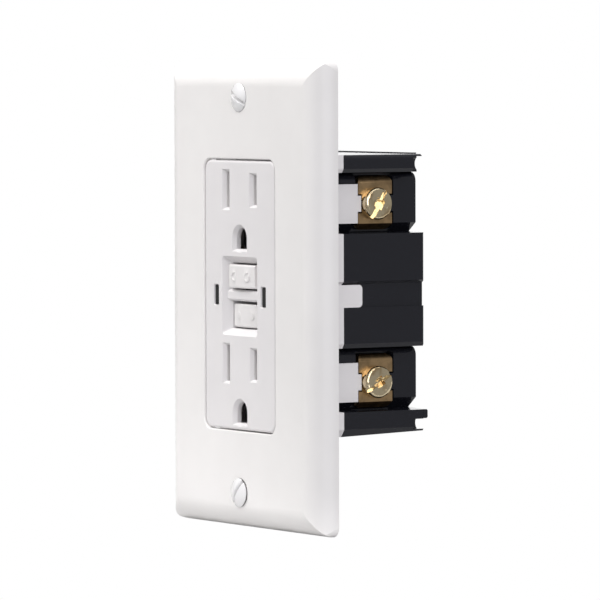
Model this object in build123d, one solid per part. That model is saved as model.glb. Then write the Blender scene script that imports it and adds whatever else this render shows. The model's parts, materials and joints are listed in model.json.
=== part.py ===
"""GFCI outlet (ground fault receptacle) with its wall plate, in millimetres.

X is right as seen from the front, +Y goes back into the wall, +Z is up.
The origin is the middle of the device on the wall plane (y = 0), where the strap ears and the plate rim rest.
"""
from build123d import *
import os

# Wall plate
PLATE_W = 70.5
PLATE_H = 114.7
PLATE_DEPTH = 6.5
PLATE_WALL = 2.0
PLATE_ROUND = 6.2
PLATE_CORNER = 2.6
OPENING_W = 33.3
OPENING_H = 66.7
OPENING_R = 2.8
PLATE_SCREW_Z = 48.42
PLATE_HEAD_R = 3.55

# Front cover: the face, and the wider skirt behind the wall plane
FACE_W = 32.7
FACE_H = 66.1
FACE_R = 2.5
FACE_FRONT = -6.35
FACE_BACK = -4.35
COVER_WALL = 1.5
SKIRT_BACK = 10.55
SIDE_X = 21.0
TONGUE_X = 17.6
TONGUE_BACK = 16.8
TAB_BACK = 15.9

# Outlets and buttons on the face
OUTLET_Z = {"upper": 25.8, "lower": -16.9}
BLADE_X = 6.35
BEVEL_DEPTH = 0.85
GROUND_DROP = 11.9
RECESS_Z = -0.25
RESET_Z = 4.55
TEST_Z = -5.1
BUTTON_W = 12.0
BUTTON_H = 5.75
BUTTON_CROWN = 0.7
RESET_FRONT = -6.35
TEST_FRONT = -4.85
BAR_FRONT = -5.35
LENS_X = 11.0
LENS_Z = -0.2

# Mounting strap
STRAP_T = 1.2
STRAP_END = 53.2
STRAP_EAR_W = 40.0
NECK_W = 20.0
BOX_SCREW_Z = 41.65
BOX_SCREW_R = 2.15
GROUND_SCREW_X = -13.2
GROUND_SCREW_Y = 4.6
GROUND_SCREW_Z = -39.6

# Separator and back case
TRAY_FRONT = 12.9
TRAY_BACK = 14.4
CASE_BACK = 33.95
CASE_FLOOR = 31.85
POCKET_X = 17.2
POST_X = 18.6
POST_Z = {"top": 32.0, "bottom": -31.8}
POST_R = 2.4
SCREW_SEAT_Y = 29.2
NOTCH_X = 17.7
NOTCH_FLOOR = 30.9

# Terminals
TERMINAL_Z = {"line": 22.4, "load": -21.3}
SIDES = {"hot": 1, "neutral": -1}
TERMINAL_Y = 21.9
CLAMP_X = 16.2
CLAMP_T = 1.0
CLAMP_FRONT = 17.2
CLAMP_BACK = 27.0
WINDOW_FRONT = 16.35
WINDOW_BACK = 27.4
CONTACT_X = 12.9
CONTACT_T = 1.2
SHANK_R = 2.05

# Switching contacts
BRIDGE_X = 6.6
BRIDGE_LINE_Z = 9.6
BRIDGE_LOAD_Z = -0.6

# Mechanism behind the separator
SOLENOID_Y = 21.2
BOARD_FRONT = 28.4
BOARD_T = 1.6
TOROID_Z = 21.0

EPS = 0.01


def block(x0, x1, y0, y1, z0, z1):
    """A box between two corners."""
    return Pos((x0 + x1) / 2, (y0 + y1) / 2, (z0 + z1) / 2) * Box(x1 - x0, y1 - y0, z1 - z0)


def slab(sketch, front, back):
    """An (x, z) sketch extruded from y = front back to y = back."""
    return Pos(0, back, 0) * extrude(Plane.XZ * sketch, back - front)


def funnel(front_sketch, front, back_sketch, back):
    """A straight-sided solid between two (x, z) sketches at y = front and y = back."""
    return loft([Pos(0, front, 0) * (Plane.XZ * front_sketch), Pos(0, back, 0) * (Plane.XZ * back_sketch)], ruled=True)


def rod_y(r, x, z, y0, y1):
    """A cylinder along Y."""
    return Pos(x, (y0 + y1) / 2, z) * Rot(90, 0, 0) * Cylinder(r, y1 - y0)


def rod_z(r, x, y, z0, z1):
    """A cylinder along Z."""
    return Pos(x, y, (z0 + z1) / 2) * Cylinder(r, z1 - z0)


def rod_x(r, y, z, x0, x1):
    """A cylinder along X."""
    return Pos((x0 + x1) / 2, y, z) * Rot(0, 90, 0) * Cylinder(r, x1 - x0)


def mirror_x(shape):
    """The same shape on the other side of the centre line."""
    return mirror(shape, about=Plane.YZ)


def coil(radius, wire_r, length, turns):
    """A round-wire compression spring standing on the XY plane."""
    path = Helix(pitch=length / turns, height=length, radius=radius)
    return sweep((path ^ 0) * Circle(wire_r), path=path, is_frenet=True)


def coil_y(radius, wire_r, x, z, y0, y1, turns):
    """A compression spring along Y whose wire stays between y0 and y1."""
    spring = coil(radius, wire_r, y1 - y0 - 2 * wire_r, turns)
    return Pos(x, y0 + wire_r, z) * Rot(-90, 0, 0) * spring


def save(name, *solids):
    """Write one node's solids to its STEP file."""
    shape = solids[0] if len(solids) == 1 else Compound(children=list(solids))
    export_step(shape, f"parts/{name}.step")


# Wall plate and its screws

def plate_form(inset):
    """The plate's outside form, its edges rounded over towards the wall, shrunk by inset."""
    w = PLATE_W / 2 - inset
    h = PLATE_H / 2 - inset
    front = inset - PLATE_DEPTH
    blank = block(-w, w, front, 0, -h, h)
    crest = blank.edges().filter_by_position(Axis.Y, front - EPS, front + EPS)
    sides_rounded = fillet(crest.filter_by(Axis.Z), PLATE_ROUND - inset)
    ends_rounded = fillet(crest.filter_by(Axis.X), PLATE_ROUND - inset)
    plan = slab(RectangleRounded(2 * w, 2 * h, PLATE_CORNER - inset), front, 0)
    return sides_rounded & ends_rounded & plan


def wall_plate():
    body = plate_form(0) - plate_form(PLATE_WALL)
    body -= slab(RectangleRounded(OPENING_W, OPENING_H, OPENING_R), -PLATE_DEPTH - 1, 0)
    rim = body.edges().filter_by_position(Axis.Y, -PLATE_DEPTH - EPS, -PLATE_DEPTH + EPS)
    inner_rim = [e for e in rim if abs(e.center().X) < 17 and abs(e.center().Z) < 34]
    body = fillet(inner_rim, 0.35)
    for z in (PLATE_SCREW_Z, -PLATE_SCREW_Z):
        body -= rod_y(2.0, 0, z, -PLATE_DEPTH - 1, 0)
        body -= Pos(0, -PLATE_DEPTH + 0.85, z) * Rot(-90, 0, 0) * Cone(PLATE_HEAD_R + 0.1, 2.0, 1.7)
    return body


def plate_screw(z, proud, slot_angle):
    """A slotted oval-head 6-32 screw; proud is how far its rim stands off the plate."""
    rim = -PLATE_DEPTH - proud
    dome_r = 6.6
    head = Pos(0, rim + dome_r - 1.05, z) * Sphere(dome_r)
    head &= rod_y(PLATE_HEAD_R, 0, z, rim - 2, rim)
    cone = Pos(0, rim + 0.8, z) * Rot(-90, 0, 0) * Cone(PLATE_HEAD_R, 1.72, 1.6)
    shank = rod_y(1.72, 0, z, rim + 1.6, rim + 12.7)
    screw = head + cone + shank
    slot = Pos(0, rim - 0.4, z) * Rot(0, slot_angle, 0) * Box(9, 2.0, 1.05)
    return screw - slot


def plate_screws():
    return plate_screw(PLATE_SCREW_Z, 0.05, 26), plate_screw(-PLATE_SCREW_Z, 0.35, -56)


# Front cover

def blade_slot(x, z, height):
    """A blade slot through the face, with a bevelled mouth."""
    mouth = Pos(x, z) * Rectangle(3.5, height)
    throat = Pos(x, z) * Rectangle(1.8, height - 1.3)
    back = FACE_FRONT + BEVEL_DEPTH
    return funnel(mouth, FACE_FRONT, throat, back) + slab(throat, back, FACE_BACK + 1)


def ground_hole(z):
    """A ground pin hole through the face: a bevelled mouth and a straight throat."""
    back = FACE_FRONT + BEVEL_DEPTH
    cone = Pos(0, (FACE_FRONT + back) / 2, z) * Rot(-90, 0, 0) * Cone(3.45, 2.6, BEVEL_DEPTH)
    low_mouth = funnel(
        Pos(0, z - 1.6) * Rectangle(6.9, 3.2), FACE_FRONT, Pos(0, z - 1.3) * Rectangle(5.2, 2.6), back
    )
    throat = slab(Pos(0, z) * Circle(2.6) + Pos(0, z - 1.3) * Rectangle(5.2, 2.6), FACE_FRONT, FACE_BACK + 1)
    return cone + low_mouth + throat


def button_recess():
    """The dished well around the two buttons, less the bar that divides them."""
    well = funnel(
        Pos(0, RECESS_Z) * RectangleRounded(16.5, 19.5, 1.0), FACE_FRONT,
        Pos(0, RECESS_Z) * RectangleRounded(12.6, 16.2, 0.4), FACE_BACK,
    )
    well += slab(Pos(0, RECESS_Z) * Rectangle(12.6, 16.2), FACE_BACK - EPS, -1.2)
    return well


def divider_bar():
    """The bar between the buttons, with bevelled long edges."""
    bar = block(-7.6, 7.6, BAR_FRONT, -3.15, -1.5, 1.2)
    edges = bar.edges().filter_by(Axis.X).filter_by_position(Axis.Y, BAR_FRONT - EPS, BAR_FRONT + EPS)
    bar = chamfer(edges, 0.5)
    fit_in = block(-7.9, 7.9, FACE_FRONT + 0.6, -1.6, -10, 10)
    return bar & fit_in


def lens_slot(x):
    mouth = Pos(x, LENS_Z) * RectangleRounded(2.5, 5.3, 0.5)
    throat = Pos(x, LENS_Z) * RectangleRounded(1.8, 4.8, 0.3)
    return funnel(mouth, FACE_FRONT, throat, FACE_FRONT + 0.6) + slab(throat, FACE_FRONT + 0.6, FACE_BACK + 1)


def side_profile(pocket_x):
    """Right half of the housing's outline; the two terminal pockets' floors stand at pocket_x."""
    top = Polyline((0, 34.45), (SIDE_X, 34.45), (SIDE_X, 31.0), (20.3, 30.1), (pocket_x - 2.2, 29.95))
    roll_up = ThreePointArc((pocket_x - 2.2, 29.95), (pocket_x - 0.644, 29.306), (pocket_x, 27.75))
    middle = Polyline(
        (pocket_x, 27.75), (pocket_x, 17.6), (pocket_x - 3.0, 15.4), (SIDE_X, 15.2), (SIDE_X, 3.6), (20, 2.9),
        (20, -2.75), (SIDE_X, -2.75), (SIDE_X, -11.6), (20.3, -12.7), (pocket_x - 2.2, -12.9),
    )
    roll_low = ThreePointArc((pocket_x - 2.2, -12.9), (pocket_x - 0.644, -13.544), (pocket_x, -15.1))
    bottom = Polyline(
        (pocket_x, -15.1), (pocket_x, -25.4), (pocket_x - 3.4, -28.0), (SIDE_X, -28.3), (SIDE_X, -32.5),
        (19.6, -34.35), (0, -34.35), (0, 34.45),
    )
    half = make_face(top + roll_up + middle + roll_low + bottom)
    return half + mirror(half, about=Plane.YZ)


def hollow_profile():
    """The housing's inner outline, one wall thickness inside the other."""
    half = make_face(Polyline(
        (0, 32.95), (19.5, 32.95), (19.5, 31.6), (13.5, 31.45), (13.5, 28.45), (15.0, 28.45), (15.7, 27.75),
        (15.7, 18.2), (12.9, 16.2), (12.9, 13.9), (19.5, 13.7), (19.5, 4.3), (18.5, 3.7), (18.5, -4.25),
        (19.5, -4.25), (19.5, -11.0), (13.4, -11.4), (13.4, -14.4), (14.9, -14.4), (15.7, -15.1),
        (15.7, -26.0), (12.5, -27.2), (12.5, -29.6), (19.5, -29.8), (19.5, -31.8), (18.9, -32.85), (0, -32.85),
        (0, 32.95),
    ))
    return half + mirror(half, about=Plane.YZ)


def post_places():
    return [(x, z) for x in (-POST_X, POST_X) for z in POST_Z.values()]


def cover_shell():
    """Face block and skirt, hollow from behind."""
    face = slab(RectangleRounded(FACE_W, FACE_H, FACE_R), FACE_FRONT, 0)
    front_rim = face.edges().filter_by_position(Axis.Y, FACE_FRONT - EPS, FACE_FRONT + EPS)
    face = fillet(front_rim, 0.7)
    shell = face + slab(side_profile(TONGUE_X), 0, SKIRT_BACK)
    inner_w = FACE_W - 2 * COVER_WALL
    inner_h = FACE_H - 2 * COVER_WALL
    shell -= slab(RectangleRounded(inner_w, inner_h, 1.2), FACE_BACK, COVER_WALL)
    return shell - slab(hollow_profile(), COVER_WALL, SKIRT_BACK)


def terminal_tongue(z):
    """The right-hand tongue that shields one terminal, with its locating nub."""
    tongue = block(16.2, TONGUE_X, SKIRT_BACK - 1.5, TONGUE_BACK, z - 4.8, z + 4.8)
    nub = block(16.2, TONGUE_X, TONGUE_BACK, TONGUE_BACK + 1, z - 1.95, z + 1.95)
    return tongue + nub


def side_tab():
    """The round-cornered tab in the middle of the right-hand side, which the back case's slot takes."""
    tab = slab(Rectangle(0.95, 5.5), SKIRT_BACK - 1.5, TAB_BACK)
    tab = fillet(tab.edges().filter_by(Axis.X).filter_by_position(Axis.Y, TAB_BACK - EPS, TAB_BACK + EPS), 1.0)
    root = block(SIDE_X - COVER_WALL, SIDE_X, SKIRT_BACK - 3, SKIRT_BACK, -2.75, 2.75)
    return Pos(SIDE_X - 0.475, 0, 0) * tab + root


def front_cover():
    cover = cover_shell()
    for z in TERMINAL_Z.values():
        cover += terminal_tongue(z)
        cover += mirror_x(terminal_tongue(z))
    cover += side_tab()
    cover += mirror_x(side_tab())
    envelope = slab(side_profile(TONGUE_X), 0, SKIRT_BACK)
    for x, z in post_places():
        cover += rod_y(POST_R, x, z, COVER_WALL - 0.3, SKIRT_BACK) & envelope
        cover -= rod_y(1.05, x, z, 3.0, SKIRT_BACK + 1)
    collar = slab(Pos(0, RECESS_Z) * Rectangle(14.8, 18.4), FACE_BACK - 0.2, -1.6)
    cover += collar
    cover -= button_recess()
    cover += divider_bar()
    for z in OUTLET_Z.values():
        cover -= blade_slot(-BLADE_X, z, 10.1)
        cover -= blade_slot(BLADE_X, z, 8.5)
        cover -= ground_hole(z - GROUND_DROP)
    for x in (-LENS_X, LENS_X):
        cover -= lens_slot(x)
    neck = NECK_W / 2 + 0.2
    for side in (-1, 1):
        cover -= block(-neck, neck, -STRAP_T - 0.1, SKIRT_BACK + 1, side * 33.3 - 2.6, side * 33.3 + 2.6)
    cover += block(-13.65, -11.35, FACE_FRONT + 0.25, FACE_FRONT + 1.8, FACE_H / 2 - 0.9, FACE_H / 2 + 0.22)
    return cover


# Buttons and lenses

def pictogram_reset(z, front):
    """A raised open ring, which marks the reset button."""
    ring = Circle(1.25) - Circle(0.8)
    ring -= Pos(0.9, 0.9) * Rot(0, 0, 45) * Rectangle(1.6, 0.8)
    return slab(Pos(0, z) * ring, front, front + 0.5)


def button(z, front):
    """A push button: convex face, hollow behind, with a stop flange that keeps it in the cover."""
    crown_r = (BUTTON_W ** 2 / 4 + BUTTON_CROWN ** 2) / (2 * BUTTON_CROWN)
    body = block(-BUTTON_W / 2, BUTTON_W / 2, front - 1, -0.4, z - BUTTON_H / 2, z + BUTTON_H / 2)
    body &= rod_z(crown_r, 0, front + crown_r, z - 10, z + 10)
    rim = body.edges().filter_by_position(Axis.Y, front - EPS, front + BUTTON_CROWN + EPS)
    body = fillet(rim.filter_by(GeomType.CIRCLE), 0.45)
    body += block(-6.9, 6.9, -1.3, -0.4, z - 3.3, z + 3.3)
    body -= block(-4.8, 4.8, front + 2.2, 0, z - 1.75, z + 1.75)
    body += rod_y(1.9, 0, z, front + 1.6, -0.4)
    return body


def reset_button():
    body = button(RESET_Z, RESET_FRONT)
    for x in (-3.0, 3.0):
        body += Pos(x, 0, 0) * pictogram_reset(RESET_Z, RESET_FRONT + crown_drop(3.0) - 0.12)
    body -= rod_y(1.0, 0, RESET_Z, -3.0, 0)
    return body


def test_button():
    body = button(TEST_Z, TEST_FRONT)
    for x in (-3.0, 3.0):
        front = TEST_FRONT + crown_drop(3.0) - 0.12
        body += Pos(x, 0, 0) * slab(Pos(0, TEST_Z) * Circle(0.95), front, front + 0.5)
    body += rod_y(1.2, 0, TEST_Z, -1.0, 13.5)
    return body


def crown_drop(x):
    """How far a button's convex face falls back at x from its middle."""
    crown_r = (BUTTON_W ** 2 / 4 + BUTTON_CROWN ** 2) / (2 * BUTTON_CROWN)
    return crown_r - (crown_r ** 2 - x ** 2) ** 0.5


def reset_pin():
    """The latching pin on the reset button: a groove and a tapered nose at its rear end."""
    pin = rod_y(1.0, 0, RESET_Z, -3.0, 16.6)
    pin += rod_y(0.62, 0, RESET_Z, 16.6, 17.6)
    nose = Pos(0, 18.2, RESET_Z) * Rot(-90, 0, 0) * Cone(1.0, 0.55, 1.2)
    return pin + nose


def reset_spring():
    return coil_y(2.35, 0.25, 0, RESET_Z, -0.35, 7.9, 6)


def test_spring():
    return coil_y(2.3, 0.26, 0, TEST_Z, -0.35, 5.9, 5)


def light_pipes():
    """Smoked lenses set in the face, each running back to its lamp as a flat light pipe."""
    pipe = slab(Pos(LENS_X, LENS_Z) * RectangleRounded(1.7, 4.7, 0.3), FACE_FRONT + 0.3, 26.2)
    return pipe, mirror_x(pipe)


# Shutters behind the blade slots

def shutter(z):
    """A sliding shutter: a window and a notch that meet the two slots once it has slid 3 mm right."""
    plate = block(-8.2, 9.0, -3.4, -2.2, z - 4.7, z + 4.7)
    plate -= block(2.2, 4.5, -4, -2, z - 4.0, z + 4.0)
    ramp = Pos(-8.2, -2.2, z) * Rot(0, 0, 45) * Box(1.3, 1.3, 7.0)
    peg = rod_x(0.45, -2.82, z, 9.0, 10.0)
    return plate - ramp + peg


def shutter_spring(z):
    spring = coil(0.68, 0.11, 5.2, 7)
    return Pos(9.2, -2.82, z) * Rot(0, 90, 0) * spring


def shutter_guide(z):
    """The frame behind a shutter: slotted back plate and two rails that the shutter slides between."""
    guide = block(-13.8, 13.8, -1.95, -1.3, z - 5.6, z + 5.6)
    for x in (-BLADE_X, BLADE_X):
        guide -= block(x - 1.3, x + 1.3, -3, 0, z - 4.4, z + 4.4)
    for side in (-1, 1):
        low = z + side * 5.3 - 0.3
        guide += block(-13.8, 13.8, FACE_BACK + 0.02, -1.9, low, low + 0.6)
    return guide


# Mounting strap, ground parts

def ear_sketch(side):
    """One end of the strap: neck, then the wide plaster ear."""
    middle = (37.0 + STRAP_END) / 2
    ear = Pos(0, side * middle) * RectangleRounded(STRAP_EAR_W, STRAP_END - 37.0, 3.0)
    return ear + Pos(0, side * 35.2) * Rectangle(NECK_W, 5.0)


def strap_sketch():
    plate = ear_sketch(1) + ear_sketch(-1)
    plate += Pos(0, 21.5) * Rectangle(6.4, 25.0) + Pos(0, -22.0) * Rectangle(6.4, 24.0)
    plate += Pos(0, 0) * Rectangle(19.2, 23.0)
    plate -= Pos(0, -0.25) * Rectangle(14.6, 20.0)
    for z in OUTLET_Z.values():
        plate += Pos(0, z - GROUND_DROP) * Rectangle(12.4, 7.6)
    for z in OUTLET_Z.values():
        plate -= Pos(0, z - GROUND_DROP) * Circle(2.95)
    for side in (-1, 1):
        plate -= Pos(0, side * BOX_SCREW_Z) * Circle(BOX_SCREW_R)
        plate -= Pos(0, side * PLATE_SCREW_Z) * Circle(1.8)
    return plate


def mounting_strap():
    strap = slab(strap_sketch(), -STRAP_T, 0)
    for side in (-1, 1):
        for x in (-10.6, 10.6):
            groove = Pos(x, -STRAP_T, side * 45.1) * Rot(0, 0, 45) * Box(0.5, 0.5, 17)
            strap -= groove
    tab = block(GROUND_SCREW_X, GROUND_SCREW_X + 1.2, -0.6, 9.2, -43.6, -35.6)
    tab = fillet(tab.edges().filter_by(Axis.X).filter_by_position(Axis.Y, 9.2 - EPS, 9.2 + EPS), 2.5)
    web = block(GROUND_SCREW_X, -9.0, -STRAP_T, 0, -43.6, -35.6)
    strap += tab + web
    strap -= rod_x(SHANK_R + 0.05, GROUND_SCREW_Y, GROUND_SCREW_Z, GROUND_SCREW_X - 1, GROUND_SCREW_X + 3)
    return strap


def ground_contact(z):
    """A sprung socket for the ground pin, flanged onto the strap."""
    flange = block(-5.6, 5.6, 0, 0.6, z - 3.4, z + 3.4)
    tube = rod_y(3.0, 0, z, 0, 9.0)
    bore = rod_y(2.4, 0, z, -1, 10)
    slots = block(-0.5, 0.5, 2.0, 10, z - 4, z + 4) + block(-4, 4, 2.0, 10, z - 0.5, z + 0.5)
    return flange + tube - bore - slots


def ground_screw():
    """Hex-headed green ground screw, its head on the left of the strap tab."""
    x = GROUND_SCREW_X
    head = Pos(x - 1.5, GROUND_SCREW_Y, GROUND_SCREW_Z) * Rot(0, 90, 0) * extrude(RegularPolygon(4.0, 6), 1.5)
    head += rod_x(4.3, GROUND_SCREW_Y, GROUND_SCREW_Z, x - 0.6, x - 0.02)
    screw = head + rod_x(SHANK_R, GROUND_SCREW_Y, GROUND_SCREW_Z, x - 0.6, x + 6.5)
    return screw - block(x - 3, x - 1.0, GROUND_SCREW_Y - 0.5, GROUND_SCREW_Y + 0.5,
                         GROUND_SCREW_Z - 6, GROUND_SCREW_Z + 6)


# Separator tray

def tray_sketch():
    """The tray's outline: wide in the middle and at the ends, narrow between the terminals."""
    wide = Rectangle(24.6, 63.0)
    wide += Pos(0, 0.9) * Rectangle(38.4, 23.6)
    for x in (-19.3, 19.3):
        wide -= Pos(x, 0) * Rectangle(2.2, 9.2)
    return wide


def end_tab(side):
    """The L-shaped tab that closes the cover's strap slot."""
    half = NECK_W / 2
    lo, hi = sorted((side * 32.7, side * 34.25))
    tab = block(-half, half, 0.05, SKIRT_BACK - 0.1, lo, hi)
    lo, hi = sorted((side * 30.4, side * 34.25))
    tab += block(-half, half, 9.3, SKIRT_BACK - 0.1, lo, hi)
    lo, hi = sorted((side * 30.4, side * 31.5))
    return tab + block(-half, half, 9.3, TRAY_FRONT + 0.5, lo, hi)


def separator():
    tray = slab(tray_sketch(), TRAY_FRONT, TRAY_BACK)
    tray += end_tab(1)
    tray += end_tab(-1)
    tray += rod_y(2.9, 0, RESET_Z, 8.0, TRAY_FRONT + 0.2)
    tray += rod_y(2.9, 0, TEST_Z, 6.0, TRAY_FRONT + 0.2)
    for z in OUTLET_Z.values():
        tray += rod_y(3.7, 0, z - GROUND_DROP, TRAY_BACK - 0.2, 16.5)
        tray -= rod_y(2.8, 0, z - GROUND_DROP, TRAY_FRONT - 1, 15.7)
    tray -= rod_y(1.5, 0, RESET_Z, 0, 20)
    tray -= rod_y(1.6, 0, TEST_Z, 0, 20)
    for side in (-1, 1):
        tray -= rod_y(1.6, side * BRIDGE_X, BRIDGE_LOAD_Z, 12, 15)
        tray -= rod_y(1.6, side * BRIDGE_X, BRIDGE_LINE_Z, 12, 15)
        tray -= block(side * LENS_X - 1.1, side * LENS_X + 1.1, 12, 15, LENS_Z - 2.5, LENS_Z + 2.5)
    tray -= block(-2.6, 2.6, 12, 15, TOROID_Z - 1.6, TOROID_Z + 1.6)
    return tray


# Back case

def terminal_walls(z):
    """The partitions that close one right-hand terminal compartment off from the mechanism."""
    low, high = z - 7.6, z + 8.0
    back = CASE_FLOOR + 0.5
    walls = block(9.6, 10.8, 14.6, back, low, high)
    walls += block(10.2, 14.4, 14.6, back, low, low + 0.6)
    walls += block(10.2, 14.4, 14.6, back, high - 0.6, high)
    return walls


def terminal_window(z):
    """What is cut from the right side for one terminal: tongue and clamp windows, two wire holes behind."""
    cut = block(15.0, 18.0, SKIRT_BACK - 1, WINDOW_FRONT + 0.35, z - 4.95, z + 4.95)
    cut += block(14.4, 18.3, WINDOW_FRONT, WINDOW_BACK, z - 7.0, z + 7.4)
    cut -= block(14.4, POCKET_X, WINDOW_BACK - 1.1, WINDOW_BACK + 0.1, z - 1.95, z + 1.95)
    for dz in (-3.1, 3.1):
        cut += slab(Pos(15.15, z + dz) * RectangleRounded(2.5, 3.6, 0.6), 30, 35)
    return cut


def lug_slot():
    """Slot in the upper right compartment wall for the line terminal's lug."""
    return block(9, 12, 27.4, 29.0, TERMINAL_Z["line"] - 2.2, TERMINAL_Z["line"] + 1.8)


def draft_wedge():
    """What the bottom face loses to its draft angle."""
    side = Polyline(
        (SKIRT_BACK, -34.36), (SKIRT_BACK, -36), (CASE_BACK + 1, -36), (CASE_BACK + 1, -33.52), (SKIRT_BACK, -34.36)
    )
    return extrude(Plane.YZ * make_face(side), 25, both=True)


def case_blank():
    """The back case's outside, solid."""
    blank = slab(side_profile(POCKET_X), SKIRT_BACK, CASE_BACK)
    corners = blank.edges().filter_by(Axis.Y).filter_by_position(Axis.Z, 34.4, 34.5)
    blank = fillet([e for e in corners if abs(e.center().X) > 20], 1.5)
    rear = blank.edges().filter_by_position(Axis.Y, CASE_BACK - EPS, CASE_BACK + EPS)
    outer = [e for e in rear if abs(e.center().X) > 20.9 or abs(e.center().Z) > 34.3]
    return chamfer(outer, 0.4) - draft_wedge()


def corner_notches():
    """Recesses in the four rear corners, open to the side."""
    cut = block(NOTCH_X, SIDE_X + 1, NOTCH_FLOOR, CASE_BACK + 1, 29.8, 33.9)
    cut += block(NOTCH_X, SIDE_X + 1, NOTCH_FLOOR, CASE_BACK + 1, -33.1, -30.6)
    return cut + mirror_x(cut)


def back_case():
    blank = case_blank()
    shell = blank - slab(hollow_profile(), SKIRT_BACK - 1, CASE_FLOOR)
    for z in TERMINAL_Z.values():
        shell += terminal_walls(z)
        shell += mirror_x(terminal_walls(z))
        shell -= terminal_window(z)
        shell -= mirror_x(terminal_window(z))
    shell -= lug_slot()
    shell -= mirror_x(lug_slot())
    for x, z in post_places():
        shell += rod_y(POST_R, x, z, SKIRT_BACK, CASE_FLOOR) & blank
        shell -= rod_y(1.25, x, z, SKIRT_BACK - 1, CASE_BACK + 1)
        shell -= rod_y(1.75, x, z, SCREW_SEAT_Y, CASE_BACK + 1)
    shell -= corner_notches()
    rib = block(-SIDE_X, SIDE_X, CASE_BACK - 0.3, CASE_BACK + 0.95, -30.5, -28.3)
    rear = rib.edges().filter_by(Axis.X).filter_by_position(Axis.Y, CASE_BACK + 0.9, CASE_BACK + 1)
    shell += chamfer(rear, 0.3)
    return shell + block(-NOTCH_X, NOTCH_X, CASE_BACK - 1.2, CASE_BACK - 0.15, 34.0, 34.75)


def assembly_screw(x, z):
    """A small pan-head screw from the back of the case into the cover's corner post."""
    seat = SCREW_SEAT_Y
    head = fillet(rod_y(1.6, x, z, seat, seat + 1.5).edges().group_by(Axis.Y)[-1], 0.5)
    screw = head + rod_y(1.0, x, z, 4.0, seat + 0.2)
    for angle in (45, 135):
        screw -= Pos(x, seat + 1.4, z) * Rot(0, angle, 0) * Box(2.0, 1.1, 0.45)
    return screw


def assembly_screws():
    return [assembly_screw(x, z) for x, z in post_places()]


# Terminals, built on the right-hand side

def clamp_profile(z):
    """The clamp plate's section: flat front, top edge curled inwards, bottom edge bent in at 45 degrees."""
    front = CLAMP_X + CLAMP_T
    flat = Pos(CLAMP_X + CLAMP_T / 2, z + 0.05) * Rectangle(CLAMP_T, 9.9)
    curl_x = front - 2.0
    wedge = make_face(Polyline(
        (curl_x, z + 5.0), (front + 1, z + 5.0), (front + 1, z + 8.0), (curl_x + 1.03, z + 7.82), (curl_x, z + 5.0)
    ))
    curl = (Pos(curl_x, z + 5.0) * (Circle(2.0) - Circle(1.0))) & wedge
    lip = make_face(Polyline(
        (front, z - 4.5), (front, z - 4.9), (15.5, z - 6.4), (14.8, z - 5.65), (CLAMP_X, z - 4.4), (front, z - 4.5)
    ))
    return flat + curl + lip


def clamp_plate(z):
    """Pressure plate under a terminal screw, notched front and back."""
    plate = slab(clamp_profile(z), CLAMP_FRONT, CLAMP_BACK)
    middle = (CLAMP_FRONT + CLAMP_BACK) / 2
    outline = Plane.YZ * (Pos(middle, z + 0.2) * RectangleRounded(CLAMP_BACK - CLAMP_FRONT, 13.6, 1.8))
    plate &= Pos(CLAMP_X, 0, 0) * extrude(outline, 4, both=True)
    for y0, y1 in ((CLAMP_FRONT - 1, CLAMP_FRONT + 1), (CLAMP_BACK - 1.1, CLAMP_BACK + 1)):
        plate -= block(CLAMP_X - 1, CLAMP_X + 2, y0, y1, z - 2.35, z + 2.35)
    return plate - rod_x(2.4, TERMINAL_Y, z, CLAMP_X - 1, CLAMP_X + 2)


def terminal_screw(z, slot_angle):
    """Pan-head binding screw with a combination slot and square recess."""
    seat = CLAMP_X + CLAMP_T
    head = rod_x(3.95, TERMINAL_Y, z, seat, seat + 2.4)
    head = fillet(head.edges().group_by(Axis.X)[-1], 0.8)
    screw = head + rod_x(SHANK_R, TERMINAL_Y, z, 11.1, seat + 0.5)
    turn = Pos(seat + 2.4, TERMINAL_Y, z) * Rot(slot_angle, 0, 0)
    screw -= turn * Box(2.2, 9.0, 1.1)
    return screw - turn * Box(3.6, 2.4, 2.4)


def contact_plate(z):
    """The threaded plate that the wire is clamped against."""
    plate = block(CONTACT_X, CONTACT_X + CONTACT_T, CLAMP_FRONT, CLAMP_BACK - 0.3, z - 3.9, z + 3.9)
    return plate - rod_x(SHANK_R + 0.08, TERMINAL_Y, z, CONTACT_X - 1, CONTACT_X + 3)


def line_terminal():
    """Upper contact plate, with the lug that is soldered to the circuit board."""
    z = TERMINAL_Z["line"]
    lug = block(8.4, CONTACT_X + 0.2, 27.6, 28.3, z - 1.8, z + 1.4)
    riser = block(CONTACT_X, CONTACT_X + CONTACT_T, 26.3, 28.3, z - 1.8, z + 1.4)
    return contact_plate(z) + riser + lug


def load_terminal():
    """Lower contact plate, with the lug that meets the busbar."""
    z = TERMINAL_Z["load"]
    lug = block(10.0, CONTACT_X + 0.5, 11.6, 12.4, z - 1.5, z + 1.5)
    riser = block(CONTACT_X, CONTACT_X + CONTACT_T, 11.6, CLAMP_FRONT + 0.3, z - 1.5, z + 1.5)
    return contact_plate(z) + riser + lug


# Busbars and switching contacts, built on the right-hand side

def blade_grip(z, height):
    """Two sprung leaves on a base, which grip one plug blade."""
    grip = block(BLADE_X - 2.0, BLADE_X + 2.0, 12.0, 12.8, z - height / 2, z + height / 2)
    for side in (-1, 1):
        lo, hi = sorted((side * 0.85, side * 1.45))
        grip += block(BLADE_X + lo, BLADE_X + hi, 3.2, 12.4, z - height / 2, z + height / 2)
        lo, hi = sorted((side * 0.85, side * 2.0))
        lip = block(BLADE_X + lo, BLADE_X + hi, 2.4, 3.2, z - height / 2, z + height / 2)
        grip += lip
    return grip


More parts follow.
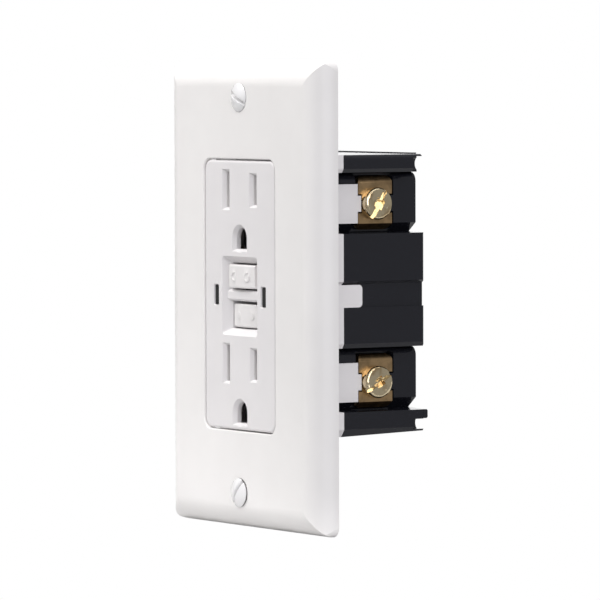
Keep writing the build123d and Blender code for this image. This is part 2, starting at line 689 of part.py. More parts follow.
def busbar(height):
    """Rail that joins both outlets' grips to the load contact and the load terminal."""
    low = TERMINAL_Z["load"] - 1.5
    rail = block(9.0, 9.9, 9.2, 12.8, low, OUTLET_Z["upper"] + 3.0)
    for z in OUTLET_Z.values():
        rail += blade_grip(z, height)
        rail += block(BLADE_X + 1.9, 9.4, 12.0, 12.8, z - 3.0, z + 3.0)
    rail += block(BRIDGE_X - 1.8, 9.4, 12.0, 12.8, BRIDGE_LOAD_Z - 1.8, BRIDGE_LOAD_Z + 1.8)
    rail += rod_y(1.3, BRIDGE_X, BRIDGE_LOAD_Z, 12.6, 14.5)
    return rail


def line_strap():
    """Conductor from the fixed line contact through the current sensors to the circuit board."""
    strap = block(BRIDGE_X - 2.0, BRIDGE_X + 1.4, 12.0, 12.8, BRIDGE_LINE_Z - 1.8, 21.4)
    strap += block(0.8, BRIDGE_X + 1.4, 12.0, 12.8, 19.8, 21.4)
    strap += block(0.8, 1.6, 12.0, BOARD_FRONT, TOROID_Z - 1.2, TOROID_Z + 0.4)
    strap += rod_y(1.3, BRIDGE_X, BRIDGE_LINE_Z, 12.6, 14.5)
    return strap


def contact_bridge():
    """Moving bar with a contact rivet at each end."""
    bar = block(BRIDGE_X - 1.5, BRIDGE_X + 1.5, 16.2, 17.0, BRIDGE_LOAD_Z - 1.5, BRIDGE_LINE_Z + 1.5)
    bar += rod_y(1.3, BRIDGE_X, BRIDGE_LOAD_Z, 15.6, 16.4)
    return bar + rod_y(1.3, BRIDGE_X, BRIDGE_LINE_Z, 15.6, 16.4)


def contact_carriage():
    """Insulating block that carries both contact bridges and holds the latch plate."""
    block_mid = block(-4.0, 4.0, 17.2, 23.0, 0.9, 9.0)
    wings = block(-8.2, 8.2, 17.0, 18.6, 1.4, 7.6)
    carriage = block_mid + wings
    carriage -= rod_y(1.45, 0, RESET_Z, 16, 24)
    return carriage - block(-3.1, 3.1, 19.3, 20.7, 0, 10)


def latch_plate():
    """Steel slide in the carriage whose keyhole edge catches the reset pin's groove."""
    plate = block(-2.8, 2.8, 19.6, 20.4, -1.8, 10.2)
    plate += block(-2.8, 2.8, 19.6, 23.0, -1.8, -1.0)
    slot = rod_y(1.4, 0, RESET_Z, 19, 21) + rod_y(1.4, 0, RESET_Z - 1.6, 19, 21)
    slot += block(-1.4, 1.4, 19, 21, RESET_Z - 1.6, RESET_Z)
    return plate - slot


# Solenoid

def solenoid_bobbin():
    y = SOLENOID_Y
    bobbin = rod_z(2.6, 0, y, -23.9, -7.1) + rod_z(5.2, 0, y, -23.9, -22.9) + rod_z(5.2, 0, y, -8.1, -7.1)
    return bobbin - rod_z(2.0, 0, y, -30, 0)


def solenoid_coil():
    """Windings: a wound body with a ridge for each layer turn."""
    y = SOLENOID_Y
    winding = rod_z(4.7, 0, y, -22.85, -8.15)
    for i in range(24):
        ridge = Pos(0, y, -22.5 + 0.61 * i) * Torus(4.7, 0.28)
        winding += ridge
    return winding - rod_z(2.65, 0, y, -30, 0)


def solenoid_frame():
    y = SOLENOID_Y
    frame = block(-5.0, 5.0, y + 5.4, y + 6.4, -25.1, -5.9)
    for z0, z1 in ((-25.1, -24.0), (-7.0, -5.9)):
        frame += block(-5.0, 5.0, y - 4.8, y + 6.4, z0, z1)
    return frame - rod_z(2.3, 0, y, -30, 0)


def solenoid_plunger():
    y = SOLENOID_Y
    return rod_z(1.6, 0, y, -29.0, -2.1) + rod_z(2.9, 0, y, -29.6, -28.6)


def plunger_spring():
    return Pos(0, SOLENOID_Y, -28.3) * coil(2.2, 0.2, 2.9, 4)


# Circuit board and its parts

def circuit_board():
    outline = Rectangle(18.2, 60.0) + Pos(0, 1.3) * Rectangle(36.5, 24.0)
    board = slab(outline, BOARD_FRONT, BOARD_FRONT + BOARD_T)
    return fillet(board.edges().filter_by(Axis.Y).filter_by_position(Axis.X, 9.2, 20), 0.5)


def toroid_housing():
    """Moulded cup around the two current sensors, with a central passage for the conductors."""
    z = TOROID_Z
    cup = rod_y(8.2, 0, z, 16.7, 25.0) - rod_y(7.2, 0, z, 17.7, 24.0) + rod_y(3.6, 0, z, 16.7, 25.0)
    cup -= rod_y(2.8, 0, z, 16, 26)
    for x in (-5.4, 5.4):
        cup += rod_y(0.7, x, z, 24.8, BOARD_FRONT)
    return cup


def toroid_cores():
    return [
        rod_y(6.9, 0, TOROID_Z, y, y + 2.8) - rod_y(3.9, 0, TOROID_Z, y - 1, y + 4) for y in (17.9, 21.0)
    ]


def surge_varistor():
    """Disc with two leads down to the board."""
    disc = rod_y(4.2, 14.0, 8.4, 22.2, 25.2)
    disc = fillet(disc.edges().filter_by(GeomType.CIRCLE), 1.0)
    return disc + rod_y(0.35, 11.9, 8.4, 25.0, BOARD_FRONT) + rod_y(0.35, 16.1, 8.4, 25.0, BOARD_FRONT)


def capacitor():
    can = rod_y(3.1, -14.4, 7.6, 17.4, BOARD_FRONT)
    can = fillet(can.edges().group_by(Axis.Y)[0], 0.5)
    return can


def resistor(x, z):
    """Axial resistor standing just off the board, its leads bent back into it."""
    body = rod_z(1.1, x, 26.2, z - 2.6, z + 2.6)
    body += rod_z(1.3, x, 26.2, z - 2.9, z - 1.8) + rod_z(1.3, x, 26.2, z + 1.8, z + 2.9)
    for dz in (-3.5, 3.5):
        lo, hi = sorted((z + dz, z + dz * 0.7))
        body += block(x - 0.25, x + 0.25, 25.95, 26.45, lo, hi)
        body += block(x - 0.25, x + 0.25, 25.95, BOARD_FRONT, z + dz - 0.25, z + dz + 0.25)
    return body


def resistors():
    return [resistor(x, z) for x, z in ((-15.8, -6.8), (-12.4, -6.8), (12.2, -6.8))]


def control_chip():
    chip = block(-2.0, 2.0, 27.0, 28.2, 8.4, 13.4)
    for side in (-1, 1):
        for i in range(4):
            z = 8.95 + 1.27 * i
            lo, hi = sorted((side * 1.9, side * 3.0))
            chip += block(lo, hi, 27.9, BOARD_FRONT, z - 0.2, z + 0.2)
    return chip


def indicator_leds():
    leds = []
    for x in (-LENS_X, LENS_X):
        led = rod_y(1.4, x, LENS_Z, 26.6, BOARD_FRONT)
        leds.append(fillet(led.edges().group_by(Axis.Y)[0], 0.6))
    return leds


def test_leaf():
    """Spring strip that the test button's stem presses, on two legs from the board."""
    leaf = block(-6.0, 6.0, 15.3, 15.6, -5.5, -4.3)
    for x in (-6.0, 5.6):
        leaf += block(x, x + 0.4, 15.3, BOARD_FRONT, -5.5, -4.3)
    return leaf


def main():
    os.makedirs("parts", exist_ok=True)
    save("wall_plate", wall_plate())
    save("plate_screws", *plate_screws())
    save("front_cover", front_cover())
    save("reset_button", reset_button())
    save("test_button", test_button())
    save("reset_pin", reset_pin())
    save("reset_spring", reset_spring())
    save("test_spring", test_spring())
    save("indicator_light_pipes", *light_pipes())
    for name, z in OUTLET_Z.items():
        save(f"shutter_{name}", shutter(z))
        save(f"shutter_spring_{name}", shutter_spring(z))
        save(f"shutter_guide_{name}", shutter_guide(z))
        save(f"ground_contact_{name}", ground_contact(z - GROUND_DROP))
    save("mounting_strap", mounting_strap())
    save("ground_screw", ground_screw())
    save("separator", separator())
    save("back_case", back_case())
    save("assembly_screws", *assembly_screws())
    terminals = {"line": line_terminal(), "load": load_terminal()}
    slot_angles = {"line": 60, "load": 32}
    for side, sign in SIDES.items():
        for name, z in TERMINAL_Z.items():
            pieces = {
                f"clamp_plate_{name}_{side}": clamp_plate(z),
                f"terminal_screw_{name}_{side}": terminal_screw(z, slot_angles[name]),
                f"terminal_plate_{name}_{side}": terminals[name],
            }
            for node, piece in pieces.items():
                save(node, piece if sign > 0 else mirror_x(piece))
    save("busbar_hot", busbar(6.6))
    save("busbar_neutral", mirror_x(busbar(8.2)))
    save("line_strap_hot", line_strap())
    save("line_strap_neutral", mirror_x(line_strap()))
    save("contact_bridges", contact_bridge(), mirror_x(contact_bridge()))
    save("contact_carriage", contact_carriage())
    save("latch_plate", latch_plate())
    save("solenoid_bobbin", solenoid_bobbin())
    save("solenoid_coil", solenoid_coil())
    save("solenoid_frame", solenoid_frame())
    save("solenoid_plunger", solenoid_plunger())
    save("plunger_spring", plunger_spring())
    save("circuit_board", circuit_board())
    save("toroid_housing", toroid_housing())
    save("toroid_cores", *toroid_cores())
    save("surge_varistor", surge_varistor())
    save("capacitor", capacitor())
    save("resistors", *resistors())
    save("control_chip", control_chip())
    save("indicator_leds", *indicator_leds())
    save("test_leaf", test_leaf())


main()
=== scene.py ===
"""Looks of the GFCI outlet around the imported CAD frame: materials, detail, studio and camera (metres)."""
import json
import math
import bmesh
import bpy
from mathutils import Matrix, Vector


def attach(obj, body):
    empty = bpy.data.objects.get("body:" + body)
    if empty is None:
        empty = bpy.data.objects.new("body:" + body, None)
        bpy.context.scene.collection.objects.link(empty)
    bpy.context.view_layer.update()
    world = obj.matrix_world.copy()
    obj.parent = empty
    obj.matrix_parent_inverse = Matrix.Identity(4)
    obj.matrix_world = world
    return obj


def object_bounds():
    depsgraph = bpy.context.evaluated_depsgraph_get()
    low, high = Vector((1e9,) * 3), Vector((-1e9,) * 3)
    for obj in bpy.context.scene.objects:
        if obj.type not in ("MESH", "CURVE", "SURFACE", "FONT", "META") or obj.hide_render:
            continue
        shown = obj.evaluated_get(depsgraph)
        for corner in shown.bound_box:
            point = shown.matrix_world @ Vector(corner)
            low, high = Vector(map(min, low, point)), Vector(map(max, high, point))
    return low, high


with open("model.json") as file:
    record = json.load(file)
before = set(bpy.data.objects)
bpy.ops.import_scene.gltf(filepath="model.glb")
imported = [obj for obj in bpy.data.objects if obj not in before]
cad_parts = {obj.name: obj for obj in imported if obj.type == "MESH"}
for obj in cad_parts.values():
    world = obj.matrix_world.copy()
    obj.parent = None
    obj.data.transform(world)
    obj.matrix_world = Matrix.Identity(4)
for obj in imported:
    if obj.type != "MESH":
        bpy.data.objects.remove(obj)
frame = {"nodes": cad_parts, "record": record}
cad_low, cad_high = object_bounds()

MM = 0.001
SMOOTH_ANGLE = math.radians(32)
WELD_DISTANCE = 0.0005 * MM

# Camera, at the photograph's viewing angle
CAMERA_AZIMUTH = 57.994
CAMERA_ELEVATION = 2.552
CAMERA_ROLL = -0.165
CAMERA_DISTANCE = 1338.5 * MM
CAMERA_LENS = 327.1
CAMERA_RIGHT = 9.407 * MM
CAMERA_UP = -1.345 * MM

SENSOR_WIDTH = 36.0
CLIP_NEAR, CLIP_FAR = 0.05, 50.0

# Studio
KEY_WATTS = 6.9
TOP_WATTS = 9.0
SIDE_WATTS = 31.0
BACK_WATTS = 2.0
KEY_COLOUR = (1.0, 0.99, 0.975)
SIDE_COLOUR = (0.965, 0.96, 1.0)
ROOM_COLOUR = (0.985, 0.985, 1.0, 1.0)
ROOM_LEVEL = 0.3
FLOOR_BOUNCE = 0.62      # how much light the floor throws back on the object
FLOOR_HALF = 0.32
FLOOR_FRONT = -0.04
FLOOR_BACK = 1.0
FLOOR_DROP = 0.5 * MM    # below the plate's lower edge

# Screw threads
THREAD_STEPS = 28        # rings in one turn
THREAD_PITCH = 0.794 * MM
THREAD_CREST = 0.26 * MM
THREAD_SINK = 0.06 * MM  # how far the ridge's foot sits inside the shank
FLANK, FLAT = 0.34, 0.06  # half widths of the ridge's foot and crest, in pitches
PLATE_SCREW_RADIUS = 1.72 * MM
PLATE_SCREW_Z = 48.42
PLATE_THREAD_START = 0.2
PLATE_THREAD_ENDS = {"top": 6.0, "bottom": 5.7}
GROUND_SCREW_RADIUS = 2.05 * MM
GROUND_THREAD_START = Vector((-11.9, 4.6, -39.6)) * MM
GROUND_THREAD_LENGTH = 5.0 * MM


# Material building blocks

class Nodes:
    """A material's node tree, with short ways to add and join nodes."""

    def __init__(self, name):
        self.material = bpy.data.materials.new(name)
        self.material.use_nodes = True
        self.tree = self.material.node_tree
        self.shader = self.tree.nodes["Principled BSDF"]
        self.place = self.tree.nodes.new("ShaderNodeTexCoord").outputs["Object"]

    def add(self, kind, **settings):
        node = self.tree.nodes.new(kind)
        for key, value in settings.items():
            setattr(node, key, value)
        return node

    def link(self, source, target):
        self.tree.links.new(source, target)

    def noise(self, scale, detail=3.0, roughness=0.5, stretch=None):
        """Noise in object space; scale is in cycles per metre."""
        node = self.add("ShaderNodeTexNoise")
        node.inputs["Scale"].default_value = scale
        node.inputs["Detail"].default_value = detail
        node.inputs["Roughness"].default_value = roughness
        place = self.place
        if stretch:
            mapping = self.add("ShaderNodeMapping")
            mapping.inputs["Scale"].default_value = stretch
            self.link(self.place, mapping.inputs["Vector"])
            place = mapping.outputs["Vector"]
        self.link(place, node.inputs["Vector"])
        return node.outputs["Fac"]

    def ramp(self, value, stops):
        """Map a value to colours; stops are (position, colour)."""
        node = self.add("ShaderNodeValToRGB")
        elements = node.color_ramp.elements
        while len(elements) < len(stops):
            elements.new(0.5)
        for element, (position, colour) in zip(elements, stops):
            element.position = position
            element.color = (*colour, 1.0)
        self.link(value, node.inputs["Fac"])
        return node.outputs["Color"]

    def scale(self, value, low, high):
        """Map 0..1 to low..high."""
        node = self.add("ShaderNodeMapRange")
        node.inputs["To Min"].default_value = low
        node.inputs["To Max"].default_value = high
        self.link(value, node.inputs["Value"])
        return node.outputs["Result"]

    def bump(self, height, distance, strength=1.0, under=None):
        """Surface relief; distance is the height of the full range, in metres."""
        node = self.add("ShaderNodeBump")
        node.inputs["Distance"].default_value = distance
        node.inputs["Strength"].default_value = strength
        self.link(height, node.inputs["Height"])
        if under:
            self.link(under, node.inputs["Normal"])
        return node.outputs["Normal"]

    def set(self, **values):
        """Set the shader's own sockets; underscores stand for spaces."""
        for key, value in values.items():
            self.shader.inputs[key.replace("_", " ")].default_value = value

    def edge_wear(self, sharp=0.5):
        """0 on flat surfaces, rising to 1 on outward edges."""
        pointiness = self.add("ShaderNodeNewGeometry").outputs["Pointiness"]
        node = self.add("ShaderNodeMapRange")
        node.inputs["From Min"].default_value = 0.5 + 0.02 * sharp
        node.inputs["From Max"].default_value = 0.5 + 0.16 * sharp
        self.link(pointiness, node.inputs["Value"])
        return node.outputs["Result"]

    def mix(self, factor, a, b):
        node = self.add("ShaderNodeMix", data_type="RGBA")
        self.link(factor, node.inputs["Factor"])
        for value, socket in ((a, node.inputs["A"]), (b, node.inputs["B"])):
            if isinstance(value, tuple):
                socket.default_value = (*value, 1.0)
            else:
                self.link(value, socket)
        return node.outputs["Result"]


def shade(colour, factor):
    """A colour made lighter or darker."""
    return tuple(min(1.0, c * factor) for c in colour)


def moulded_plastic(name, colour, gloss, grain, grain_size, orange_peel=0.000004, coat=0.0):
    """Moulded plastic: faint mottling, uneven gloss and a surface grain; a lower gloss value is shinier."""
    n = Nodes(name)
    mottle = n.noise(90.0, 4.0)
    base = n.ramp(mottle, [(0.25, shade(colour, 0.972)), (0.75, shade(colour, 1.012))])
    n.link(base, n.shader.inputs["Base Color"])
    smear = n.noise(240.0, 3.0, 0.6, stretch=(1.0, 1.0, 0.35))
    n.link(n.scale(smear, gloss * 0.86, gloss * 1.16), n.shader.inputs["Roughness"])
    peel = n.bump(n.noise(620.0, 2.0), orange_peel)
    relief = n.bump(n.noise(1.0 / grain_size, 2.0, 0.7), grain, under=peel)
    n.link(relief, n.shader.inputs["Normal"])
    n.set(IOR=1.49, Coat_Weight=coat, Coat_Roughness=0.06)
    return n.material


def plated_metal(name, colour, dark, roughness, brushed=(1.0, 1.0, 1.0), scratch=0.000002, wear=None):
    """Plated or rolled metal: tone clouds, drawn scratches along one direction, tarnish in patches."""
    n = Nodes(name)
    clouds = n.noise(420.0, 5.0, 0.6)
    tone = n.ramp(clouds, [(0.3, dark), (0.55, colour), (0.8, shade(colour, 1.08))])
    if wear:
        tone = n.mix(n.edge_wear(), tone, wear)
    n.link(tone, n.shader.inputs["Base Color"])
    lines = n.noise(2600.0, 3.0, 0.65, stretch=brushed)
    n.link(n.scale(lines, roughness * 0.7, roughness * 1.4), n.shader.inputs["Roughness"])
    n.link(n.bump(lines, scratch), n.shader.inputs["Normal"])
    n.set(Metallic=1.0)
    return n.material


def bright_plating(name, colour, dark):
    """Bright plating over a struck screw head: mirror-like, with shallow dents that break up reflections."""
    n = Nodes(name)
    tone = n.ramp(n.noise(380.0, 4.0), [(0.32, dark), (0.5, colour), (0.8, shade(colour, 1.06))])
    n.link(tone, n.shader.inputs["Base Color"])
    n.link(n.scale(n.noise(1500.0, 3.0), 0.08, 0.2), n.shader.inputs["Roughness"])
    dents = n.bump(n.noise(360.0, 2.0, 0.45), 0.00042)
    n.link(n.bump(n.noise(2400.0, 2.0), 0.000006, under=dents), n.shader.inputs["Normal"])
    n.set(Metallic=1.0)
    return n.material


def wall_plate_plastic():
    return moulded_plastic(
        "wall_plate_plastic", (0.865, 0.848, 0.838),
        gloss=0.3, grain=0.0000012, grain_size=0.0004, orange_peel=0.000003,
    )


def face_plastic():
    return moulded_plastic(
        "face_plastic", (0.79, 0.77, 0.775), gloss=0.42, grain=0.000009, grain_size=0.00022
    )


def button_plastic():
    return moulded_plastic(
        "button_plastic", (0.82, 0.8, 0.795), gloss=0.36, grain=0.000006, grain_size=0.00025
    )


def case_plastic():
    return moulded_plastic(
        "case_plastic", (0.0105, 0.011, 0.0155),
        gloss=0.15, grain=0.000002, grain_size=0.0005, orange_peel=0.000008,
    )


def enamel():
    return moulded_plastic(
        "screw_enamel", (0.84, 0.835, 0.84), gloss=0.16, grain=0.000002, grain_size=0.0003, coat=0.3
    )


def natural_plastic():
    return moulded_plastic(
        "natural_plastic", (0.7, 0.69, 0.64), gloss=0.4, grain=0.000004, grain_size=0.0004
    )


def smoked_lens():
    n = Nodes("smoked_lens")
    base = n.ramp(n.noise(300.0), [(0.3, (0.012, 0.012, 0.013)), (0.7, (0.022, 0.021, 0.02))])
    n.link(base, n.shader.inputs["Base Color"])
    n.link(n.scale(n.noise(700.0), 0.12, 0.24), n.shader.inputs["Roughness"])
    n.set(IOR=1.49)
    return n.material


def enamelled_wire():
    """Copper magnet wire laid in turns along Z."""
    n = Nodes("enamelled_wire")
    tone = n.ramp(n.noise(500.0), [(0.3, (0.38, 0.12, 0.045)), (0.7, (0.55, 0.2, 0.08))])
    n.link(tone, n.shader.inputs["Base Color"])
    turns = n.add("ShaderNodeTexWave", bands_direction="Z")
    turns.inputs["Scale"].default_value = 800.0
    turns.inputs["Distortion"].default_value = 0.3
    n.link(n.place, turns.inputs["Vector"])
    n.link(n.bump(turns.outputs["Fac"], 0.00006), n.shader.inputs["Normal"])
    n.set(Metallic=0.8, Roughness=0.28, Coat_Weight=0.4)
    return n.material


def solder_mask():
    """Green board with a fine glass weave under the mask."""
    n = Nodes("solder_mask")
    weave_x = n.add("ShaderNodeTexWave", bands_direction="X")
    weave_z = n.add("ShaderNodeTexWave", bands_direction="Z")
    for wave in (weave_x, weave_z):
        wave.inputs["Scale"].default_value = 450.0
        n.link(n.place, wave.inputs["Vector"])
    weave = n.mix(weave_x.outputs["Fac"], (0.0, 0.0, 0.0), weave_z.outputs["Color"])
    tone = n.ramp(n.noise(200.0), [(0.3, (0.012, 0.13, 0.05)), (0.7, (0.02, 0.19, 0.07))])
    n.link(tone, n.shader.inputs["Base Color"])
    n.link(n.bump(weave, 0.00001), n.shader.inputs["Normal"])
    n.set(Roughness=0.3)
    return n.material


def dipped(name, colour, roughness=0.3):
    """A dipped or sleeved electronic part."""
    return moulded_plastic(
        name, colour, gloss=roughness, grain=0.000006, grain_size=0.0005, orange_peel=0.00002
    )


def ferrite():
    return moulded_plastic(
        "ferrite", (0.03, 0.03, 0.033), gloss=0.55, grain=0.000015, grain_size=0.00012
    )


def lamp_epoxy():
    n = Nodes("lamp_epoxy")
    tone = n.ramp(n.noise(400.0), [(0.3, (0.05, 0.3, 0.07)), (0.7, (0.09, 0.42, 0.1))])
    n.link(tone, n.shader.inputs["Base Color"])
    n.set(Roughness=0.15, IOR=1.5, Transmission_Weight=0.4)
    return n.material


BRASS = (0.83, 0.7, 0.47)
BRONZE = (0.5, 0.34, 0.18)
NICKEL = (0.6, 0.59, 0.56)
ZINC = (0.56, 0.56, 0.55)

# How noise is stretched for scratches drawn along one direction
DRAWN_Z = (1.0, 1.0, 0.05)
DRAWN_Z_COARSE = (1.0, 1.0, 0.08)
DRAWN_Y = (1.0, 0.06, 1.0)

MATERIALS = {
    "plate_plastic": wall_plate_plastic(),
    "plate_screw_paint": enamel(),
    "face_plastic": face_plastic(),
    "button_plastic": button_plastic(),
    "case_plastic": case_plastic(),
    "tray_plastic": moulded_plastic(
        "tray_plastic", (0.78, 0.775, 0.76), gloss=0.38, grain=0.000004, grain_size=0.0004
    ),
    "lens": smoked_lens(),
    "strap_steel": plated_metal("strap_steel", ZINC, shade(ZINC, 0.72), 0.34, DRAWN_Z),
    "green_screw": plated_metal(
        "green_screw", (0.05, 0.3, 0.1), (0.03, 0.2, 0.07), 0.3, wear=(0.3, 0.4, 0.3)
    ),
    "inner_plastic": natural_plastic(),
    "spring_steel": plated_metal("spring_steel", (0.5, 0.5, 0.5), (0.3, 0.3, 0.3), 0.25),
    "steel": plated_metal("steel", ZINC, shade(ZINC, 0.7), 0.3),
    "contact_brass": plated_metal(
        "contact_brass", (0.6, 0.38, 0.14), (0.42, 0.26, 0.1), 0.32, DRAWN_Z_COARSE
    ),
    "screw_brass": bright_plating("screw_brass", BRASS, (0.62, 0.46, 0.26)),
    "clamp_brass": plated_metal("clamp_brass", BRONZE, shade(BRONZE, 0.6), 0.3, DRAWN_Y),
    "screw_nickel": bright_plating("screw_nickel", NICKEL, shade(NICKEL, 0.75)),
    "clamp_nickel": plated_metal("clamp_nickel", shade(NICKEL, 0.8), shade(NICKEL, 0.55), 0.3, DRAWN_Y),
    "copper_wire": enamelled_wire(),
    "board": solder_mask(),
    "ferrite": ferrite(),
    "varistor": dipped("varistor_dip", (0.02, 0.08, 0.3)),
    "capacitor_sleeve": dipped("capacitor_sleeve", (0.015, 0.015, 0.03), 0.22),
    "resistor_body": dipped("resistor_lacquer", (0.42, 0.28, 0.16)),
    "chip_plastic": dipped("chip_plastic", (0.012, 0.012, 0.012), 0.5),
    "led": lamp_epoxy(),
}

# Width of the softened edges, in millimetres, by slot
EDGE_WIDTH = {
    "plate_screw_paint": 0.1,
    "face_plastic": 0.12,
    "button_plastic": 0.15,
    "case_plastic": 0.18,
    "tray_plastic": 0.15,
    "strap_steel": 0.12,
    "green_screw": 0.1,
    "screw_brass": 0.1,
    "screw_nickel": 0.1,
    "clamp_brass": 0.16,
    "clamp_nickel": 0.16,
    "contact_brass": 0.08,
}


def soften(piece, width):
    """Round the sharp edges a little and shade the rest smoothly."""
    piece.data.polygons.foreach_set("use_smooth", [True] * len(piece.data.polygons))
    weld = piece.modifiers.new("weld", "WELD")
    weld.merge_threshold = WELD_DISTANCE
    edges = piece.modifiers.new("edges", "BEVEL")
    edges.width = width * MM
    edges.segments = 2
    edges.limit_method = "ANGLE"
    edges.angle_limit = SMOOTH_ANGLE
    edges.use_clamp_overlap = True
    normals = piece.modifiers.new("normals", "WEIGHTED_NORMAL")
    normals.keep_sharp = True
    normals.weight = 60


def dress_nodes():
    """Give every CAD node its slot's material; nodes of slots with an edge width also get smooth shading and
    softened edges.
    """
    for entry in frame["record"]["subparts"]:
        piece = frame["nodes"][entry["node"]]
        slot = entry["material_slot"]
        piece.data.materials.clear()
        piece.data.materials.append(MATERIALS[slot])
        if slot in EDGE_WIDTH:
            soften(piece, EDGE_WIDTH[slot])


# Screw threads

def thread(name, body, slot, start, axis, radius, length):
    """A helical ridge along a screw's shank, fading out at both ends."""
    across = Vector((0, 0, 1))
    up = axis.cross(across)
    count = int(THREAD_STEPS * length / THREAD_PITCH)
    bm = bmesh.new()
    rings = []
    for i in range(count + 1):
        angle = math.tau * i / THREAD_STEPS
        fade = min(1.0, i / THREAD_STEPS * 2, (count - i) / THREAD_STEPS * 2)
        out = across * math.cos(angle) + up * math.sin(angle)
        middle = start + axis * (THREAD_PITCH * i / THREAD_STEPS)
        root = radius - THREAD_SINK
        crest = root + THREAD_CREST * fade
        profile = ((root, -FLANK), (crest, -FLAT), (crest, FLAT), (root, FLANK))
        rings.append([
            bm.verts.new(middle + out * r + axis * (THREAD_PITCH * along)) for r, along in profile
        ])
    for near, far in zip(rings, rings[1:]):
        for j in range(4):
            bm.faces.new((near[j], near[(j + 1) % 4], far[(j + 1) % 4], far[j]))
    bm.faces.new(rings[0])
    bm.faces.new(reversed(rings[-1]))
    bmesh.ops.recalc_face_normals(bm, faces=bm.faces)
    mesh = bpy.data.meshes.new(name)
    bm.to_mesh(mesh)
    bm.free()
    mesh.materials.append(MATERIALS[slot])
    piece = bpy.data.objects.new(name, mesh)
    bpy.context.scene.collection.objects.link(piece)
    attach(piece, body)


def threads():
    """The threads that show behind the plate and behind the strap."""
    for side, (end, tip) in zip((1, -1), PLATE_THREAD_ENDS.items()):
        start = Vector((0, PLATE_THREAD_START, side * PLATE_SCREW_Z)) * MM
        thread(f"plate_screw_thread_{end}", "device", "plate_screw_paint", start,
               Vector((0, 1, 0)), PLATE_SCREW_RADIUS, (tip - PLATE_THREAD_START) * MM)
    thread("ground_screw_thread", "ground_screw", "green_screw", GROUND_THREAD_START,
           Vector((1, 0, 0)), GROUND_SCREW_RADIUS, GROUND_THREAD_LENGTH)


# Studio

def backdrop():
    """A floor just under the plate's lower edge: plain white to the camera, and dimmer as a light source."""
    mesh = bpy.data.meshes.new("floor")
    bm = bmesh.new()
    floor_z = cad_low.z - FLOOR_DROP
    turn = Matrix.Rotation(math.radians(CAMERA_AZIMUTH), 4, "Z")
    corners = [
        (-FLOOR_HALF, FLOOR_FRONT), (FLOOR_HALF, FLOOR_FRONT),
        (FLOOR_HALF, FLOOR_BACK), (-FLOOR_HALF, FLOOR_BACK),
    ]
    bm.faces.new([bm.verts.new(turn @ Vector((x, y, floor_z))) for x, y in corners])
    bm.to_mesh(mesh)
    bm.free()
    floor = bpy.data.objects.new("floor", mesh)
    bpy.context.scene.collection.objects.link(floor)
    n = Nodes("floor_white")
    tone = n.ramp(n.noise(3.0), [(0.3, (FLOOR_BOUNCE,) * 3), (0.7, (FLOOR_BOUNCE + 0.02,) * 3)])
    n.link(tone, n.shader.inputs["Base Color"])
    n.set(Roughness=0.9)
    paper = n.add("ShaderNodeEmission")
    seen = n.add("ShaderNodeLightPath").outputs["Is Camera Ray"]
    mix = n.add("ShaderNodeMixShader")
    n.link(seen, mix.inputs["Fac"])
    n.link(n.shader.outputs["BSDF"], mix.inputs[1])
    n.link(paper.outputs["Emission"], mix.inputs[2])
    n.link(mix.outputs["Shader"], n.tree.nodes["Material Output"].inputs["Surface"])
    mesh.materials.append(n.material)


def area_light(name, place, target, size, energy, colour=(1.0, 1.0, 1.0)):
    light = bpy.data.lights.new(name, "AREA")
    light.shape = "RECTANGLE"
    light.size, light.size_y = size
    light.energy = energy
    light.color = colour
    lamp = bpy.data.objects.new(name, light)
    lamp.location = place
    lamp.rotation_mode = "QUATERNION"
    lamp.rotation_quaternion = (Vector(target) - Vector(place)).to_track_quat("-Z", "Y")
    bpy.context.scene.collection.objects.link(lamp)
    return lamp


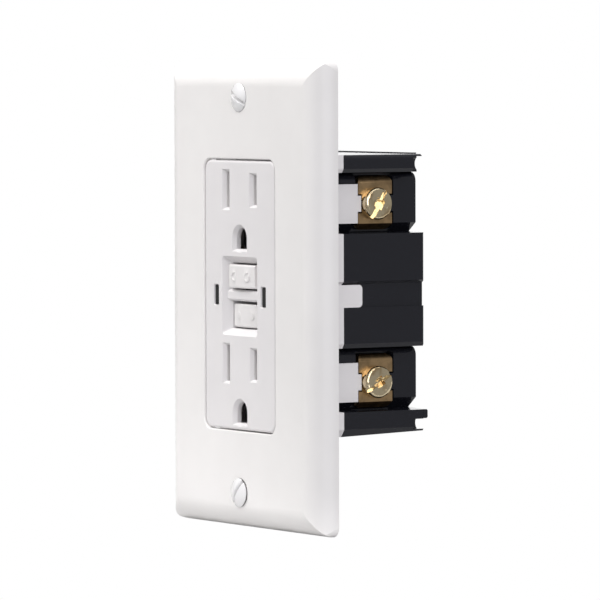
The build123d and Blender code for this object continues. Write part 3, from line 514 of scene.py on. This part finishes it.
def lights():
    area_light("key", (-0.28, -0.5, 0.7), (0, 0, 0.04), (0.55, 0.55), KEY_WATTS, KEY_COLOUR)
    area_light("top", (0.2, 0.0, 1.4), (0, 0, 0), (1.6, 1.6), TOP_WATTS)
    area_light("side", (2.15, -0.55, 0.75), (0, 0, 0), (2.0, 2.0), SIDE_WATTS, SIDE_COLOUR)
    back = area_light("back", (-0.85, 0.53, 0.35), (0, 0, 0.1), (0.64, 0.8), BACK_WATTS)
    back.visible_camera = False
    world = bpy.data.worlds.new("studio")
    world.use_nodes = True
    tree = world.node_tree
    room = tree.nodes["Background"]
    room.inputs["Color"].default_value = ROOM_COLOUR
    room.inputs["Strength"].default_value = ROOM_LEVEL
    backdrop_white = tree.nodes.new("ShaderNodeBackground")
    backdrop_white.inputs["Color"].default_value = (1.0, 1.0, 1.0, 1.0)
    seen = tree.nodes.new("ShaderNodeLightPath").outputs["Is Camera Ray"]
    mix = tree.nodes.new("ShaderNodeMixShader")
    tree.links.new(seen, mix.inputs["Fac"])
    tree.links.new(room.outputs["Background"], mix.inputs[1])
    tree.links.new(backdrop_white.outputs["Background"], mix.inputs[2])
    tree.links.new(mix.outputs["Shader"], tree.nodes["World Output"].inputs["Surface"])
    bpy.context.scene.world = world


def camera():
    azimuth, elevation = math.radians(CAMERA_AZIMUTH), math.radians(CAMERA_ELEVATION)
    back = Vector((
        math.sin(azimuth) * math.cos(elevation), -math.cos(azimuth) * math.cos(elevation), math.sin(elevation)
    ))
    right = Vector((math.cos(azimuth), math.sin(azimuth), 0.0))
    data = bpy.data.cameras.new("camera")
    data.lens = CAMERA_LENS
    data.sensor_width = SENSOR_WIDTH
    data.clip_start, data.clip_end = CLIP_NEAR, CLIP_FAR
    lens = bpy.data.objects.new("camera", data)
    lens.location = right * CAMERA_RIGHT + Vector((0, 0, CAMERA_UP)) + back * CAMERA_DISTANCE
    lens.rotation_mode = "QUATERNION"
    roll = Matrix.Rotation(math.radians(CAMERA_ROLL), 3, back)
    up = roll @ back.cross(right)
    side = roll @ right
    lens.rotation_quaternion = Matrix((side, up, back)).transposed().to_quaternion()
    bpy.context.scene.collection.objects.link(lens)
    bpy.context.scene.camera = lens


dress_nodes()
threads()
backdrop()
lights()
camera()
bpy.context.scene.view_settings.view_transform = "Standard"
